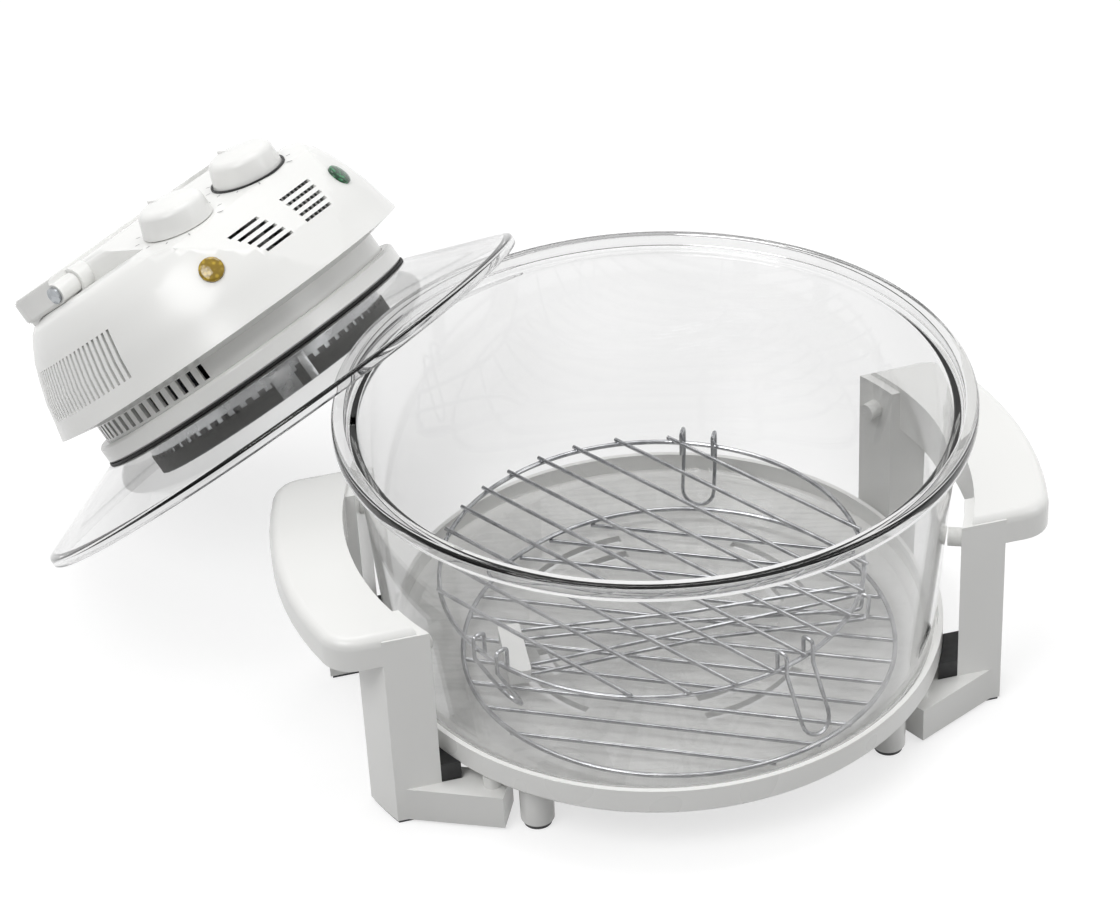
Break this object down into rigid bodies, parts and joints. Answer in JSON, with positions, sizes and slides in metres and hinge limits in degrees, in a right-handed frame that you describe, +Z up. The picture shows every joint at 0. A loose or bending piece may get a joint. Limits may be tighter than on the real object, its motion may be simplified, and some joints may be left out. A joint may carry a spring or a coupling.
{
  "type": "halogen oven",
  "caption": "Countertop halogen oven: glass bowl in a tray with handle frames, wire racks and tongs inside, and a lift-off glass lid with its heating head leaning on the rim.",
  "frame": {"origin": "centre of the footprint box, on the table top", "axes": "+Z up, +X towards the right handle, -Y towards the front"},
  "size_m": [0.5166, 0.4909, 0.2485],
  "materials": {
    "white_plastic": "gloss",
    "white_rubber": "matt",
    "grey_rubber": "matt",
    "black_plastic": "matt",
    "black_seal": "matt",
    "bowl_glass": "polished",
    "lid_glass": "polished",
    "wire_chrome": "polished",
    "steel": "satin",
    "reflector": "bright",
    "quartz": "frosted",
    "ceramic": "matt",
    "motor_iron": "satin",
    "amber": "gloss",
    "green": "gloss",
    "red_plastic": "matt"
  },
  "bodies": {
    "stand": {"base_tray": "white_plastic", "peg_feet": "white_plastic", "foot_pads": "grey_rubber", "left_handle_frame": "white_plastic", "right_handle_frame": "white_plastic", "post_bumpers": "white_rubber", "tray_spacers": "black_plastic", "frame_screws": "steel"},
    "bowl": {"glass_bowl": "bowl_glass"},
    "low_rack": {"low_rack": "wire_chrome"},
    "tongs": {"tongs_grip": "white_plastic", "tongs_wires": "wire_chrome"},
    "high_rack": {"high_rack_grid": "wire_chrome", "high_rack_legs": "wire_chrome"},
    "lid": {"glass_lid": "lid_glass", "lid_seal": "black_seal", "clamp_ring": "white_plastic", "neck_ring": "white_plastic", "base_plate": "steel", "housing_cover": "white_plastic", "reflector_pan": "reflector", "fan_guard": "steel", "halogen_lamp": "quartz", "lamp_holder": "ceramic", "motor": "motor_iron", "motor_bracket": "steel", "timer_body": "black_plastic", "thermostat": "black_plastic", "knob_trim": "black_plastic", "amber_lens": "amber", "green_lens": "green", "handle_pins": "steel", "microswitch": "black_plastic", "cord_inlet": "black_plastic", "clamp_screws": "steel", "housing_screws": "steel"},
    "fan_rotor": {"fan_shaft": "steel", "circulation_fan": "reflector", "cooling_fan": "reflector", "fan_nut": "steel"},
    "timer_control": {"timer_spindle": "steel", "timer_knob": "white_plastic"},
    "temperature_control": {"temperature_spindle": "steel", "temperature_knob": "white_plastic"},
    "carry_handle": {"lid_handle": "white_plastic"},
    "plunger": {"safety_plunger": "red_plastic"}
  },
  "joints": [
    {"name": "bowl_lift", "type": "slide", "parent": "stand", "child": "bowl", "axis": [0, 0, 1], "range_m": [0, 0.2]},
    {"name": "low_rack_lift", "type": "slide", "parent": "bowl", "child": "low_rack", "axis": [0, 0, 1], "range_m": [0, 0.25]},
    {"name": "tongs_lift", "type": "slide", "parent": "low_rack", "child": "tongs", "axis": [0, 0, 1], "range_m": [0, 0.25]},
    {"name": "high_rack_lift", "type": "slide", "parent": "tongs", "child": "high_rack", "axis": [0, 0, 1], "range_m": [0, 0.25]},
    {"name": "lid_lift", "type": "slide", "parent": "bowl", "child": "lid", "axis": [0, 0, 1], "range_m": [0, 0.25]},
    {"name": "handle_fold", "type": "hinge", "parent": "lid", "child": "carry_handle", "pos_m": [-0.1685, 0.16442, 0.19295], "axis": [0.78, 0.6234, 0.0553], "range_deg": [0, 90]},
    {"name": "plunger_travel", "type": "slide", "parent": "lid", "child": "plunger", "axis": [-0.4288, 0.468, 0.7727], "range_m": [0, 0.003]},
    {"name": "timer_turn", "type": "hinge", "parent": "lid", "child": "timer_control", "pos_m": [-0.15986, 0.10423, 0.22514], "axis": [0.267, -0.2515, -0.9303], "range_deg": [0, 300]},
    {"name": "temperature_turn", "type": "hinge", "parent": "lid", "child": "temperature_control", "pos_m": [-0.11462, 0.14038, 0.22835], "axis": [0.267, -0.2515, -0.9303], "range_deg": [0, 270]},
    {"name": "fan_spin", "type": "hinge", "parent": "lid", "child": "fan_rotor", "pos_m": [-0.11259, 0.10263, 0.10092], "axis": [-0.4288, 0.468, 0.7727], "continuous": true}
  ],
  "couplings": [
    {"joint": "plunger_travel", "follows": "handle_fold", "m_per_rad": 0.0019094}
  ]
}
